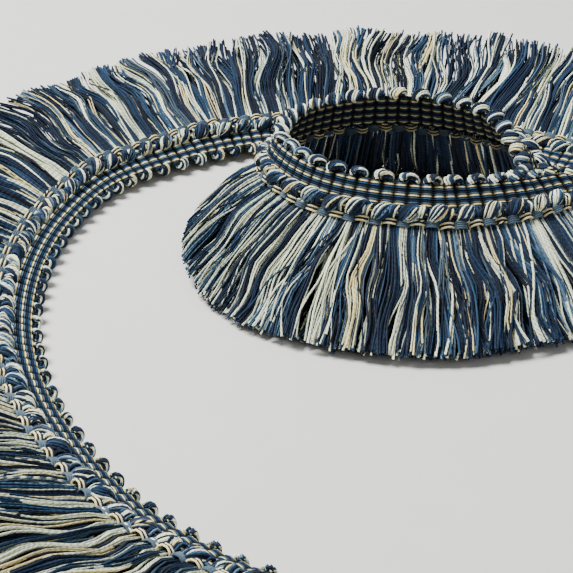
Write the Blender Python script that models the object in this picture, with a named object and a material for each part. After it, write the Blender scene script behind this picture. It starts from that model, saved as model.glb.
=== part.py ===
# A cut length of brush fringe, standing in one coil and lying in a loop around it.
#
# The strip is built flat, the way it is woven: s runs along it, v across it from the
# top edge of the woven band to the cut ends of the brush, and w up from its right side.
# Each flat piece is then laid along the path of the binding line. All sizes are in
# millimetres until they are laid, and +Z is up from the surface that the fringe lies on.

import math
import random
from bisect import bisect_right
from collections import namedtuple

import bmesh
import bpy
from mathutils import Vector

MM = 0.001
CLOSE = 1e-3

# Woven band: a warp rib cloth, two raised columns to each picot
BAND_WIDTH = 10.3
BAND_THICKNESS = 1.6
RIB_RISE = 0.35

# Picot loops along the band's free edge
PICOT_MIDDLE = -2.4
PICOT_LIFT = 0.3
PICOT_HALF_WIDTH = 2.0
PICOT_HALF_HEIGHT = 1.5
PICOT_WAIST = 0.6
PICOT_SLANT = 0.5

# Gimp: a row of wrapped puffs on the band's right side, just above the binding
GIMP_MIDDLE = 8.5
GIMP_LIFT = 3.1
GIMP_HALF_WIDTH = 2.0
GIMP_HALF_HEIGHT = 1.6
GIMP_WAIST = 0.62
GIMP_SLANT = -0.45
# Where along one picot or puff its section changes: its waist, then its full size
BEAD_FULL = [0.3, 0.7]

# Binding: the flat strip that holds the brush, with a raised tie on every second lock
BINDING_TOP = 10.6
BINDING_LINE = 11.7
BINDING_FOOT = 12.8
BINDING_HALF = 1.2
TIE_RISE = 0.65
TIE_SHARE = 0.8

# Brush: one lock under each tie and under each pair of gold threads
LOCK_PITCH = 3.9
BRUSH_LENGTH = 40.0
LOCK_HALF = 1.2
REST_HALF = 1.0
LEVEL_FROM = 0.7
LOWER_REACH = 0.86
FALL_POWER = 1.25
BOW = 1.2
SLOPE_STEP = 0.05
# How far down a lock each of its sections lies, and how wide it is there, in pitches
UPPER_STATIONS = [(0.5, 1.2), (1.0, 1.15)]
LOWER_STATIONS = [(0.34, 0.98), (LEVEL_FROM, 1.25), (1.0, 1.1)]
END_GAP = 0.15
UNEVEN_LENGTH = 0.035
UNEVEN_SWAY = 0.8

# Inner brush: the dense yarn under the coil, that carries it on the surface
INNER_TOP = 9.4
INNER_BACK = -2.9
INNER_HALF = 0.9
INNER_FLUTE = 0.5
INNER_SHARE = 0.52
INNER_FREE = 8.0

SHARP_ANGLE = math.radians(40)
# Colour and roughness of each kind of piece
BAND_YARN = ((0.05, 0.075, 0.13), 0.85)
PICOT_YARN = ((0.19, 0.24, 0.32), 0.8)
GIMP_YARN = ((0.15, 0.2, 0.29), 0.8)
BRUSH_YARN = ((0.09, 0.15, 0.25), 0.75)
INNER_YARN = ((0.04, 0.07, 0.13), 0.85)

# The middle of the laid fringe, in the path's own coordinates
MIDDLE_X = 20.41
MIDDLE_Y = 372.09

# One row for each section of the strip, from its cut start to its tucked end:
# x and y of the binding line, its height, the lean of the heading below level towards
# the brush in degrees, and how far out and how high the upper tips of the brush stand.
Section = namedtuple("Section", "x y height lean reach rise")
PATH = [
    Section(20, 234, 8, -22, 36, 20),
    Section(-8, 247, 8, -22, 36, 20),
    Section(-35, 268, 8, -22, 36, 20),
    Section(-54, 293, 8, -22, 36, 20),
    Section(-71, 327, 8, -22, 36, 20),
    Section(-80, 362, 8, -22, 36, 20),
    Section(-82, 400, 8, -22, 36, 20),
    Section(-77, 433, 8.5, -24, 36, 20),
    Section(-65, 463, 9, -26, 36, 22),
    Section(-46, 482, 9.5, -28, 36, 24),
    Section(-20, 498, 10, -30, 36.5, 26),
    Section(14, 505, 10, -30, 37, 27),
    Section(50, 503, 10, -30, 37, 28),
    Section(84, 487, 10, -30, 37, 28),
    Section(103, 473, 10.5, -26, 37, 26),
    Section(118, 456, 12.5, -16, 37, 20),
    Section(121, 436, 16, -2, 37, 12),
    Section(112, 419, 19.5, 12, 35, 5),
    Section(98, 407, 22.5, 22, 33, 3),
    Section(83, 397, 24.5, 32, 31, 2.5),
    Section(69.5, 388, 25.8, 40, 30, 2.5),
    Section(55, 382.3, 26.6, 45, 30, 2.5),
    Section(42, 379.6, 27, 50, 30.5, 2.5),
    Section(22, 383.5, 27, 57, 31, 2.5),
    Section(8, 391.4, 27, 61, 31, 2.5),
    Section(-2, 404, 26.8, 63, 28, 3),
    Section(-6.7, 421, 26, 67, 24.5, 3.5),
    Section(0, 442, 24.8, 73, 23.5, 3),
    Section(16, 456, 24, 76, 22, 2.5),
    Section(36, 460, 23.8, 77, 22, 2.5),
    Section(54, 454, 24.2, 73, 23, 2.5),
    Section(69, 441, 25.4, 59, 26, 2.5),
    Section(76, 426, 25.8, 43, 25, 2.5),
    Section(77, 415, 23, 50, 16, 2.5),
    Section(73, 405, 19.5, 66, 10, 2.5),
    Section(64, 398, 19.5, 72, 9, 2.5),
    Section(52, 392.5, 20, 75, 8, 2.5),
]
STEPS_PER_SECTION = 24
COIL_FROM = 18

# The brush lies in arcs, each with its own binding: name, first and last section
Arc = namedtuple("Arc", "name first last")
ARCS = [
    Arc("fringe_loop_start", 0, 2),
    Arc("fringe_loop_near_left", 2, 4),
    Arc("fringe_loop_left", 4, 6),
    Arc("fringe_loop_far_left", 6, 8.6),
    Arc("fringe_loop_back_left", 8.6, 10.6),
    Arc("fringe_loop_back", 10.6, 12),
    Arc("fringe_loop_back_right", 12, 13.5),
    Arc("fringe_loop_turn", 13.5, 15.6),
    Arc("fringe_loop_tail", 15.6, 18),
    Arc("fringe_coil_front", 18, 23),
    Arc("fringe_coil_left", 23, 27),
    Arc("fringe_coil_back", 27, 31),
    Arc("fringe_coil_right", 31, 36),
]

Frame = namedtuple("Frame", "tie out across face reach rise")


def smooth_path():
    """Sections at close steps on one smooth curve through the table, and their lengths."""
    count = len(PATH)
    knots = [0.0]
    for one, two in zip(PATH, PATH[1:]):
        gap = math.dist(one[:3], two[:3])
        knots.append(knots[-1] + math.sqrt(gap))
    slopes = []
    for i in range(count):
        before = max(i - 1, 0)
        after = min(i + 1, count - 1)
        if 0 < i < count - 1:
            left = knots[i] - knots[i - 1]
            right = knots[i + 1] - knots[i]
            slopes.append([
                ((b - a) / left * right + (c - b) / right * left) / (left + right)
                for a, b, c in zip(PATH[before], PATH[i], PATH[after])
            ])
        else:
            span = knots[after] - knots[before]
            slopes.append([(c - a) / span for a, c in zip(PATH[before], PATH[after])])
    rows = []
    for i in range(count - 1):
        span = knots[i + 1] - knots[i]
        for step in range(STEPS_PER_SECTION):
            u = step / STEPS_PER_SECTION
            rows.append(Section(*[
                (2 * u**3 - 3 * u**2 + 1) * a + (u**3 - 2 * u**2 + u) * span * m
                + (3 * u**2 - 2 * u**3) * b + (u**3 - u**2) * span * n
                for a, b, m, n in zip(PATH[i], PATH[i + 1], slopes[i], slopes[i + 1])
            ]))
    rows.append(PATH[-1])
    lengths = [0.0]
    for one, two in zip(rows, rows[1:]):
        lengths.append(lengths[-1] + math.dist(one[:3], two[:3]))
    return rows, lengths


ROWS, LENGTHS = smooth_path()
LOCKS = int(LENGTHS[-1] / LOCK_PITCH)
PITCH = LENGTHS[-1] / LOCKS


def length_at(section):
    """How far along the strip a section of the table lies."""
    return LENGTHS[round(section * STEPS_PER_SECTION)]


def frame_at(s):
    """Place, directions and brush of the strip at the length s."""
    i = min(max(bisect_right(LENGTHS, s) - 1, 0), len(ROWS) - 2)
    share = (s - LENGTHS[i]) / (LENGTHS[i + 1] - LENGTHS[i])
    row = Section(*[a + (b - a) * share for a, b in zip(ROWS[i], ROWS[i + 1])])
    back = ROWS[max(i - 1, 0)]
    near = ROWS[i]
    far = ROWS[i + 1]
    ahead = ROWS[min(i + 2, len(ROWS) - 1)]
    start = Vector((far.x - back.x, far.y - back.y, 0))
    stop = Vector((ahead.x - near.x, ahead.y - near.y, 0))
    along = start.normalized().lerp(stop.normalized(), min(max(share, 0), 1)).normalized()
    out = Vector((-along.y, along.x, 0))
    lean = math.radians(row.lean)
    up = Vector((0, 0, 1))
    across = out * math.cos(lean) - up * math.sin(lean)
    face = out * math.sin(lean) + up * math.cos(lean)
    tie = Vector((row.x - MIDDLE_X, row.y - MIDDLE_Y, row.height))
    return Frame(tie, out, across, face, row.reach, row.rise)


def heading_point(frame, v, w):
    """A point of the heading, which is flat across."""
    return frame.tie + frame.across * (v - BINDING_LINE) + frame.face * w


def lock_middle(frame, t, lift):
    """Middle line of a lock: how far out it stands, and its height, at the share t."""
    root = heading_point(frame, BINDING_FOOT, 0)
    root_out = (root - frame.tie).dot(frame.out)
    if lift > 0.5:
        bow = 4 * t * (1 - t) * BOW
        out = root_out + (frame.reach - root_out) * t
        return out, root.z + (frame.rise - root.z) * t + bow
    fall = max(1 - t / LEVEL_FROM, 0) ** FALL_POWER
    out = root_out + (frame.reach * LOWER_REACH - root_out) * t
    return out, REST_HALF + (root.z - REST_HALF) * fall


def lock_point(frame, v, w, lift):
    """A point of the brush. The lower locks end level on the surface."""
    t = (v - BINDING_FOOT) / BRUSH_LENGTH
    out, height = lock_middle(frame, t, lift)
    if lift < 0.5 and t > LEVEL_FROM - CLOSE:
        side_out, side_up = 0.0, 1.0
        w = math.copysign(REST_HALF, w)
    else:
        near = lock_middle(frame, t - SLOPE_STEP, lift)
        far = lock_middle(frame, t + SLOPE_STEP, lift)
        run = math.dist(near, far)
        side_out = -(far[1] - near[1]) / run
        side_up = (far[0] - near[0]) / run
    place = frame.tie + frame.out * (out + w * side_out)
    place.z = height + w * side_up
    return place


def inner_point(frame, share, w):
    """A point of the inner brush, from behind the band down to the surface."""
    top = heading_point(frame, INNER_TOP, INNER_BACK)
    top_out = (top - frame.tie).dot(frame.out)
    foot_out = INNER_SHARE * max(frame.reach - INNER_FREE, 0)
    out = top_out + (foot_out - top_out) * share
    place = frame.tie + frame.out * (out + w)
    place.z = top.z * (1 - share)
    return place


def material(name, yarn):
    colour, roughness = yarn
    made = bpy.data.materials.new(name)
    made.use_nodes = True
    shader = made.node_tree.nodes["Principled BSDF"]
    shader.inputs["Base Color"].default_value = (*colour, 1)
    shader.inputs["Roughness"].default_value = roughness
    shader.inputs["Metallic"].default_value = 0
    return made


def flat_bar(bm, start, end, columns, v_low, v_high, w_low, w_high):
    """A flat bar of the strip: a grid with its thickness extruded."""
    bmesh.ops.create_grid(bm, x_segments=columns, y_segments=1, size=0.5)
    for vert in bm.verts:
        vert.co.x = start + (vert.co.x + 0.5) * (end - start)
        vert.co.y = v_low + (vert.co.y + 0.5) * (v_high - v_low)
        vert.co.z = w_low
    grown = bmesh.ops.extrude_face_region(bm, geom=bm.faces[:])
    for item in grown["geom"]:
        if isinstance(item, bmesh.types.BMVert):
            item.co.z = w_high
    bmesh.ops.recalc_face_normals(bm, faces=bm.faces[:])


def beads(bm, start, end, middle, lift, half_width, half_height, waist, slant):
    """A row of puffs joined at their waists, as one four-sided rope."""
    profile = [(0.0, waist)] + [(share, 1.0) for share in BEAD_FULL]
    stations = []
    count = round((end - start) / (2 * PITCH))
    length = (end - start) / count
    for i in range(count):
        for share, size in profile:
            stations.append((start + (i + share) * length, size))
    stations.append((end, waist))
    bmesh.ops.create_cube(bm, size=2)
    tip = max(bm.faces, key=lambda face: face.calc_center_median().x)
    for vert in bm.verts:
        at, size = stations[0] if vert.co.x < 0 else stations[1]
        corner = Vector((vert.co.y + vert.co.z, vert.co.z - vert.co.y)) / 2
        v = corner.x * half_width * size
        vert.co = (at + slant * v, middle + v, lift + corner.y * half_height * size)
    for (_, old), (at, size) in zip(stations[1:], stations[2:]):
        grown = bmesh.ops.extrude_discrete_faces(bm, faces=[tip])
        tip = grown["faces"][0]
        for vert in tip.verts:
            v = (vert.co.y - middle) * size / old
            vert.co = (at + slant * v, middle + v, lift + (vert.co.z - lift) * size / old)


def finish(bm, name, yarn, place):
    """Lay the flat piece with place, and make it a named object with its own material."""
    for vert in bm.verts:
        vert.co = place(vert) * MM
    mesh = bpy.data.meshes.new(name)
    bm.to_mesh(mesh)
    bm.free()
    mesh.materials.append(material(name, yarn))
    mesh.shade_smooth()
    mesh.set_sharp_from_angle(angle=SHARP_ANGLE)
    made = bpy.data.objects.new(name, mesh)
    bpy.data.collections["brush_fringe"].objects.link(made)
    return made


def lay_heading(vert):
    s, v, w = vert.co
    return heading_point(frame_at(s), v, w)


def heading_band():
    """The woven band, with its columns raised on both sides."""
    bm = bmesh.new()
    half = BAND_THICKNESS / 2
    flat_bar(bm, 0, LENGTHS[-1], 2 * LOCKS, 0, BAND_WIDTH, -half, half)
    for vert in bm.verts:
        if round(vert.co.x / PITCH * 2) % 2:
            vert.co.z += math.copysign(RIB_RISE, vert.co.z)
    return finish(bm, "heading_band", BAND_YARN, lay_heading)


def loop_edging():
    bm = bmesh.new()
    beads(bm, END_GAP, LENGTHS[-1] - END_GAP, PICOT_MIDDLE, PICOT_LIFT,
          PICOT_HALF_WIDTH, PICOT_HALF_HEIGHT, PICOT_WAIST, PICOT_SLANT)
    return finish(bm, "loop_edging", PICOT_YARN, lay_heading)


def gimp_roll():
    bm = bmesh.new()
    beads(bm, PITCH, LENGTHS[-1] - PITCH, GIMP_MIDDLE, GIMP_LIFT,
          GIMP_HALF_WIDTH, GIMP_HALF_HEIGHT, GIMP_WAIST, GIMP_SLANT)
    return finish(bm, "gimp_roll", GIMP_YARN, lay_heading)


def side_faces(bm, axis, value):
    found = [face for face in bm.faces if all(abs(v.co[axis] - value) < CLOSE for v in face.verts)]
    return sorted(found, key=lambda face: face.calc_center_median().x)


def fringe_arc(arc):
    """One stretch of binding with its ties and its locks, every second lock lower."""
    first = round(length_at(arc.first) / PITCH)
    last = round(length_at(arc.last) / PITCH)
    uneven = random.Random(first)
    bm = bmesh.new()
    lift = bm.verts.layers.float.new("lift")
    flat_bar(bm, first * PITCH + END_GAP, last * PITCH - END_GAP, last - first,
             BINDING_TOP, BINDING_FOOT, -BINDING_HALF, BINDING_HALF)
    tops = side_faces(bm, 2, BINDING_HALF)
    roots = side_faces(bm, 1, BINDING_FOOT)
    for i, top in enumerate(tops):
        if (first + i) % 2 == 0:
            tie = bmesh.ops.extrude_discrete_faces(bm, faces=[top])["faces"][0]
            middle = tie.calc_center_median()
            for vert in tie.verts:
                vert.co = middle + (vert.co - middle) * TIE_SHARE
                vert.co.z = BINDING_HALF + TIE_RISE
    for i, tip in enumerate(roots):
        upper = (first + i) % 2 == 0
        stations = UPPER_STATIONS if upper else LOWER_STATIONS
        longer = 1 + uneven.uniform(-UNEVEN_LENGTH, UNEVEN_LENGTH)
        sway = uneven.uniform(-UNEVEN_SWAY, UNEVEN_SWAY)
        middle = tip.calc_center_median().x
        half = PITCH / 2
        for share, width in stations:
            tip = bmesh.ops.extrude_discrete_faces(bm, faces=[tip])["faces"][0]
            end = share if share < 1 else share * longer
            for vert in tip.verts:
                side = math.copysign(half * width, vert.co.x - middle)
                vert.co.x = middle + side
                vert.co.y = BINDING_FOOT + BRUSH_LENGTH * end
                vert.co.z = math.copysign(LOCK_HALF, vert.co.z)
                vert[lift] = 1 if upper else 0
        for vert in tip.verts:
            vert.co.x += sway

    def lay(vert):
        s, v, w = vert.co
        if v > BINDING_FOOT + 1:
            return lock_point(frame_at(s), v, w, vert[lift])
        return heading_point(frame_at(s), v, w)

    return finish(bm, arc.name, BRUSH_YARN, lay)


def inner_brush():
    """The fluted inner wall of yarn, flat at its foot, under the coil and the tail."""
    start = length_at(COIL_FROM) + END_GAP
    end = LENGTHS[-1] - END_GAP
    columns = round((end - start) / PITCH)
    bm = bmesh.new()
    bmesh.ops.create_grid(bm, x_segments=columns, y_segments=2, size=0.5)
    for vert in bm.verts:
        vert.co.y += 0.5
        vert.co.z = -INNER_HALF
    grown = bmesh.ops.extrude_face_region(bm, geom=bm.faces[:])
    for item in grown["geom"]:
        if isinstance(item, bmesh.types.BMVert):
            item.co.z = INNER_HALF
    bmesh.ops.recalc_face_normals(bm, faces=bm.faces[:])
    for vert in bm.verts:
        if round((vert.co.x + 0.5) * columns) % 2 and vert.co.y > CLOSE:
            vert.co.z -= INNER_FLUTE
        vert.co.x = start + (vert.co.x + 0.5) * (end - start)

    def lay(vert):
        s, share, w = vert.co
        return inner_point(frame_at(s), share, w)

    return finish(bm, "inner_brush", INNER_YARN, lay)


def main():
    for old in list(bpy.data.objects):
        bpy.data.objects.remove(old, do_unlink=True)
    parts = bpy.data.collections.new("brush_fringe")
    bpy.context.scene.collection.children.link(parts)
    heading_band()
    loop_edging()
    gimp_roll()
    for arc in ARCS:
        fringe_arc(arc)
    inner_brush()


main()
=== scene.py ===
# Brush fringe in a coil and a loop, thread by thread over its solids.
# The strip is thought of flat: s along it, v across it from the band's top edge to the
# cut ends, w up towards its right side. All sizes are in metres.

import math

import bpy
import numpy as np
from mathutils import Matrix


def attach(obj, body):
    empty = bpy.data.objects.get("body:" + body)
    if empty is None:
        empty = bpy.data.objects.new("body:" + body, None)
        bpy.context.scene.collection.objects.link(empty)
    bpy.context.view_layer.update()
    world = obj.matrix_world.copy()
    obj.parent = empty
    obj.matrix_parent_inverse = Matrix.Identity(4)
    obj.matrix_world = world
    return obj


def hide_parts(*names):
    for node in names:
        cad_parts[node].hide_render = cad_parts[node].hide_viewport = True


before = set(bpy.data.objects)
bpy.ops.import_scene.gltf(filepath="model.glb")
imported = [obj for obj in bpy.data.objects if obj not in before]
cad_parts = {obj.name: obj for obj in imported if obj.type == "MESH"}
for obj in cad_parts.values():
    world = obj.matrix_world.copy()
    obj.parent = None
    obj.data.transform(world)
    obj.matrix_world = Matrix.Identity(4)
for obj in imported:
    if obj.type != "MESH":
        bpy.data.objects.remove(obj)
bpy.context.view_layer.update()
scene = bpy.context.scene

strip = {
    "lockPitch": 0.0039,
    "bindingLine": 0.0117,  # v of the middle of the ties
    "bindingFoot": 0.0128,  # v where the yarns leave the ties
    "levelFrom": 0.7,       # share of its length from which a lower yarn lies level
    "lowerReach": 0.86,     # how far out a lower yarn ends, share of an upper one
    "fallPower": 1.25,
    "bow": 0.0012,
    "restHeight": 0.0010,
    "middle": (0.02041, 0.37209, 0.0),  # of the laid fringe, in the table's coordinates
    "stepsPerSection": 24,
    "coilFrom": 18,         # row of the table from which the strip stands in the coil
}

# x, y and height of the binding line, lean in degrees, reach and rise of the upper tips
pathTable = [
    (0.020, 0.234, 0.008, -22, 0.036, 0.020),
    (-0.008, 0.247, 0.008, -22, 0.036, 0.020),
    (-0.035, 0.268, 0.008, -22, 0.036, 0.020),
    (-0.054, 0.293, 0.008, -22, 0.036, 0.020),
    (-0.071, 0.327, 0.008, -22, 0.036, 0.020),
    (-0.080, 0.362, 0.008, -22, 0.036, 0.020),
    (-0.082, 0.400, 0.008, -22, 0.036, 0.020),
    (-0.077, 0.433, 0.0085, -24, 0.036, 0.020),
    (-0.065, 0.463, 0.009, -26, 0.036, 0.022),
    (-0.046, 0.482, 0.0095, -28, 0.036, 0.024),
    (-0.020, 0.498, 0.010, -30, 0.0365, 0.026),
    (0.014, 0.505, 0.010, -30, 0.037, 0.027),
    (0.050, 0.503, 0.010, -30, 0.037, 0.028),
    (0.084, 0.487, 0.010, -30, 0.037, 0.028),
    (0.103, 0.473, 0.0105, -26, 0.037, 0.026),
    (0.118, 0.456, 0.0125, -16, 0.037, 0.020),
    (0.121, 0.436, 0.016, -2, 0.037, 0.012),
    (0.112, 0.419, 0.0195, 12, 0.035, 0.005),
    (0.098, 0.407, 0.0225, 22, 0.033, 0.003),
    (0.083, 0.397, 0.0245, 32, 0.031, 0.0025),
    (0.0695, 0.388, 0.0258, 40, 0.030, 0.0025),
    (0.055, 0.3823, 0.0266, 45, 0.030, 0.0025),
    (0.042, 0.3796, 0.027, 50, 0.0305, 0.0025),
    (0.022, 0.3835, 0.027, 57, 0.031, 0.0025),
    (0.008, 0.3914, 0.027, 61, 0.031, 0.0025),
    (-0.002, 0.404, 0.0268, 63, 0.028, 0.003),
    (-0.0067, 0.421, 0.026, 67, 0.0245, 0.0035),
    (0.000, 0.442, 0.0248, 73, 0.0235, 0.003),
    (0.016, 0.456, 0.024, 76, 0.022, 0.0025),
    (0.036, 0.460, 0.0238, 77, 0.022, 0.0025),
    (0.054, 0.454, 0.0242, 73, 0.023, 0.0025),
    (0.069, 0.441, 0.0254, 59, 0.026, 0.0025),
    (0.076, 0.426, 0.0258, 43, 0.025, 0.0025),
    (0.077, 0.415, 0.023, 50, 0.016, 0.0025),
    (0.073, 0.405, 0.0195, 66, 0.010, 0.0025),
    (0.064, 0.398, 0.0195, 72, 0.009, 0.0025),
    (0.052, 0.3925, 0.020, 75, 0.008, 0.0025),
]

# the brush's arcs: solid, first and last row of the table
arcs = [
    ("fringe_loop_start", 0, 2),
    ("fringe_loop_near_left", 2, 4),
    ("fringe_loop_left", 4, 6),
    ("fringe_loop_far_left", 6, 8.6),
    ("fringe_loop_back_left", 8.6, 10.6),
    ("fringe_loop_back", 10.6, 12),
    ("fringe_loop_back_right", 12, 13.5),
    ("fringe_loop_turn", 13.5, 15.6),
    ("fringe_loop_tail", 15.6, 18),
    ("fringe_coil_front", 18, 23),
    ("fringe_coil_left", 23, 27),
    ("fringe_coil_back", 27, 31),
    ("fringe_coil_right", 31, 36),
]


def smoothPath():  # a smooth curve through the table's rows, and the length at each of its points
    rows = np.array(pathTable, float)
    gaps = np.sqrt(np.linalg.norm(np.diff(rows[:, :3], axis=0), axis=1))
    slopes = np.empty_like(rows)
    rises = np.diff(rows, axis=0) / gaps[:, None]
    left, right = gaps[:-1, None], gaps[1:, None]
    slopes[1:-1] = (rises[:-1] * right + rises[1:] * left) / (left + right)
    slopes[0], slopes[-1] = rises[0], rises[-1]
    u = (np.arange(strip["stepsPerSection"]) / strip["stepsPerSection"])[None, :, None]
    a, b = rows[:-1, None], rows[1:, None]
    m, n = slopes[:-1, None] * gaps[:, None, None], slopes[1:, None] * gaps[:, None, None]
    fine = (2 * u**3 - 3 * u**2 + 1) * a + (u**3 - 2 * u**2 + u) * m
    fine = fine + (3 * u**2 - 2 * u**3) * b + (u**3 - u**2) * n
    fine = np.vstack([fine.reshape(-1, rows.shape[1]), rows[-1:]])
    steps = np.linalg.norm(np.diff(fine[:, :3], axis=0), axis=1)
    return fine, np.concatenate([[0], np.cumsum(steps)])


pathRows, pathLengths = smoothPath()
stripLength = pathLengths[-1]
lockCount = int(stripLength / strip["lockPitch"])
pitch = stripLength / lockCount
print(f"path: {stripLength:.3f} m, {lockCount} locks")


def lengthAt(section):
    return pathLengths[round(section * strip["stepsPerSection"])]


def unit(vectors):
    return vectors / np.linalg.norm(vectors, axis=-1, keepdims=True)


def stripFrames(s):  # place and directions of the strip at every length in s
    i = np.clip(np.searchsorted(pathLengths, s, side="right") - 1, 0, len(pathRows) - 2)
    share = ((s - pathLengths[i]) / (pathLengths[i + 1] - pathLengths[i]))[..., None]
    row = pathRows[i] + (pathRows[i + 1] - pathRows[i]) * share
    back, ahead = np.maximum(i - 1, 0), np.minimum(i + 2, len(pathRows) - 1)
    start = unit(pathRows[i + 1, :2] - pathRows[back, :2])
    stop = unit(pathRows[ahead, :2] - pathRows[i, :2])
    along = unit(start + (stop - start) * np.clip(share, 0, 1))
    zero = np.zeros(along.shape[:-1] + (1,))
    out = np.concatenate([-along[..., 1:], along[..., :1], zero], -1)
    lean = np.radians(row[..., 3:4])
    up = np.array([0.0, 0.0, 1.0])
    return {
        "tie": row[..., :3] - np.array(strip["middle"]),
        "along": np.concatenate([along, zero], -1),
        "out": out,
        "across": out * np.cos(lean) - up * np.sin(lean),
        "face": out * np.sin(lean) + up * np.cos(lean),
        "reach": row[..., 4],
        "rise": row[..., 5],
        "up": up,
    }


def layHeading(s, v, w):
    at = stripFrames(s)
    return at["tie"] + at["across"] * (v - strip["bindingLine"])[..., None] + at["face"] * w[..., None]


def addObject(name, data):
    made = bpy.data.objects.new(name, data)
    scene.collection.objects.link(made)
    return made


def setPlaces(mesh, places):
    mesh.vertices.foreach_set("co", places.astype(np.float32).ravel())


def setAttribute(mesh, label, values, vector=True):  # one vector or number for each point
    made = mesh.attributes.new(label, "FLOAT_VECTOR" if vector else "FLOAT", "POINT")
    made.data.foreach_set("vector" if vector else "value", values.astype(np.float32).ravel())


def addNode(tree, kind, feeds=(), **choices):
    node = tree.nodes.new(kind)
    for choice, value in choices.items():
        setattr(node, choice, value)
    for key, value in dict(feeds).items():
        socket = next(s for s in node.inputs if s.enabled and key in (s.name, s.identifier))
        if isinstance(value, bpy.types.NodeSocket):
            tree.links.new(value, socket)
        else:
            socket.default_value = value
    return node


def result(tree, kind, feeds=(), **choices):  # the first output in use
    node = addNode(tree, kind, feeds, **choices)
    return next(socket for socket in node.outputs if socket.enabled)


def calc(tree, operation, one, two=None):
    feeds = {"Value": one} if two is None else {"Value": one, "Value_001": two}
    return result(tree, "ShaderNodeMath", feeds, operation=operation)


def plus(tree, one, two):
    return calc(tree, "ADD", one, two)


def times(tree, one, two):
    return calc(tree, "MULTIPLY", one, two)


def swing(tree, share, size):  # from half of size below nought to half above it
    return times(tree, calc(tree, "SUBTRACT", share, 0.5), size)


def vectorCalc(tree, operation, one, two):
    feeds = {"Vector": one, "Vector_001": two}
    return result(tree, "ShaderNodeVectorMath", feeds, operation=operation)


def scaled(tree, vector, size):
    feeds = {"Vector": vector, "Scale": size}
    return result(tree, "ShaderNodeVectorMath", feeds, operation="SCALE")


def mixNumbers(tree, factor, one, two):
    return result(tree, "ShaderNodeMix", {"Factor_Float": factor, "A_Float": one, "B_Float": two})


def newGroup(kind, name, inputs, outputs):
    tree = bpy.data.node_groups.new(name, kind + "NodeTree")
    for way, sockets in (("OUTPUT", outputs), ("INPUT", inputs)):
        for label, form, *default in sockets:
            socket = tree.interface.new_socket(label, in_out=way, socket_type="NodeSocket" + form)
            if default:
                socket.default_value = default[0]
    return tree, tree.nodes.new("NodeGroupInput").outputs, tree.nodes.new("NodeGroupOutput").inputs


def newTree(name, sockets):
    inputs = [("Geometry", "Geometry"), *sockets, ("Material", "Material")]
    return newGroup("Geometry", name, inputs, [("Geometry", "Geometry")])


def named(tree, label, kind="FLOAT"):
    return result(tree, "GeometryNodeInputNamedAttribute", {"Name": label}, data_type=kind)


def store(tree, geometry, label, value, kind="FLOAT"):
    feeds = {"Geometry": geometry, "Name": label, "Value": value}
    return result(tree, "GeometryNodeStoreNamedAttribute", feeds, data_type=kind, domain="POINT")


def finishTree(tree, geometry, inputs, outputs):
    real = result(tree, "GeometryNodeRealizeInstances", {"Geometry": geometry})
    done = result(tree, "GeometryNodeSetMaterial", {"Geometry": real, "Material": inputs["Material"]})
    tree.links.new(done, outputs["Geometry"])
    return tree


def runTree(source, tree, values, name):  # evaluate the tree once and keep a plain mesh
    modifier = source.modifiers.new("threads", "NODES")
    modifier.node_group = tree
    sockets = {item.name: item.identifier for item in tree.interface.items_tree if item.in_out == "INPUT"}
    for label, value in values.items():
        modifier[sockets[label]] = value
    source.update_tag()
    bpy.context.view_layer.update()
    evaluated = source.evaluated_get(bpy.context.evaluated_depsgraph_get())
    mesh = bpy.data.meshes.new_from_object(evaluated)
    source.modifiers.remove(modifier)
    bpy.data.objects.remove(source, do_unlink=True)
    mesh.name = name
    piece = addObject(name, mesh)
    mesh.calc_loop_triangles()
    print(f"{name}: {len(mesh.loop_triangles)} triangles")
    return piece


def threadMesh(name, points, closed=False, **facts):  # one polyline for each thread
    threads, count = points.shape[:2]
    mesh = bpy.data.meshes.new(name)
    mesh.vertices.add(threads * count)
    setPlaces(mesh, points)
    first = np.arange(count if closed else count - 1)
    links = np.stack([first, (first + 1) % count], -1)
    links = (links[None] + np.arange(threads)[:, None, None] * count).reshape(-1, 2)
    mesh.edges.add(len(links))
    mesh.edges.foreach_set("vertices", links.astype(np.int32).ravel())
    for label, value in facts.items():
        value = np.broadcast_to(value, (threads, count) + np.shape(value)[2:])
        setAttribute(mesh, label, value, vector=value.ndim == 3)
    mesh.update()
    return addObject(name, mesh)


def sweepThreads(tree, curves, inputs):  # a round thread along every curve
    feeds = {"Resolution": inputs["Sides"], "Radius": 1.0}
    profile = result(tree, "GeometryNodeCurvePrimitiveCircle", feeds)
    position = result(tree, "GeometryNodeInputPosition")
    profile = store(tree, profile, "around", position, "FLOAT_VECTOR")
    curves = store(tree, curves, "run", addNode(tree, "GeometryNodeSplineParameter").outputs["Length"])
    feeds = {"Curve": curves, "Profile Curve": profile, "Scale": named(tree, "thick"), "Fill Caps": True}
    swept = result(tree, "GeometryNodeCurveToMesh", feeds)
    return result(tree, "GeometryNodeSetShadeSmooth", {"Geometry": swept})


waves = {
    "apart": 60.0,          # spread of the threads' numbers, so that no two sway alike
    "shares": (1.0, 1.0, 0.5),
    "takenAlong": 0.8,      # share taken away along the yarn, so that the cut ends stay in line
}


def swayBy(tree, number, length, height):  # smooth offset that differs with number
    position = result(tree, "GeometryNodeInputPosition")
    rate = calc(tree, "DIVIDE", 1.0, length)
    step = times(tree, number, length)  # the noise scales its fourth input too
    noise = addNode(tree, "ShaderNodeTexNoise", {"Vector": position, "W": step, "Scale": rate, "Detail": 0.0},
                    noise_dimensions="4D")
    centred = vectorCalc(tree, "SUBTRACT", noise.outputs["Color"], (0.5, 0.5, 0.5))
    size = times(tree, height, named(tree, "loose"))
    return scaled(tree, centred, size)


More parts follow.
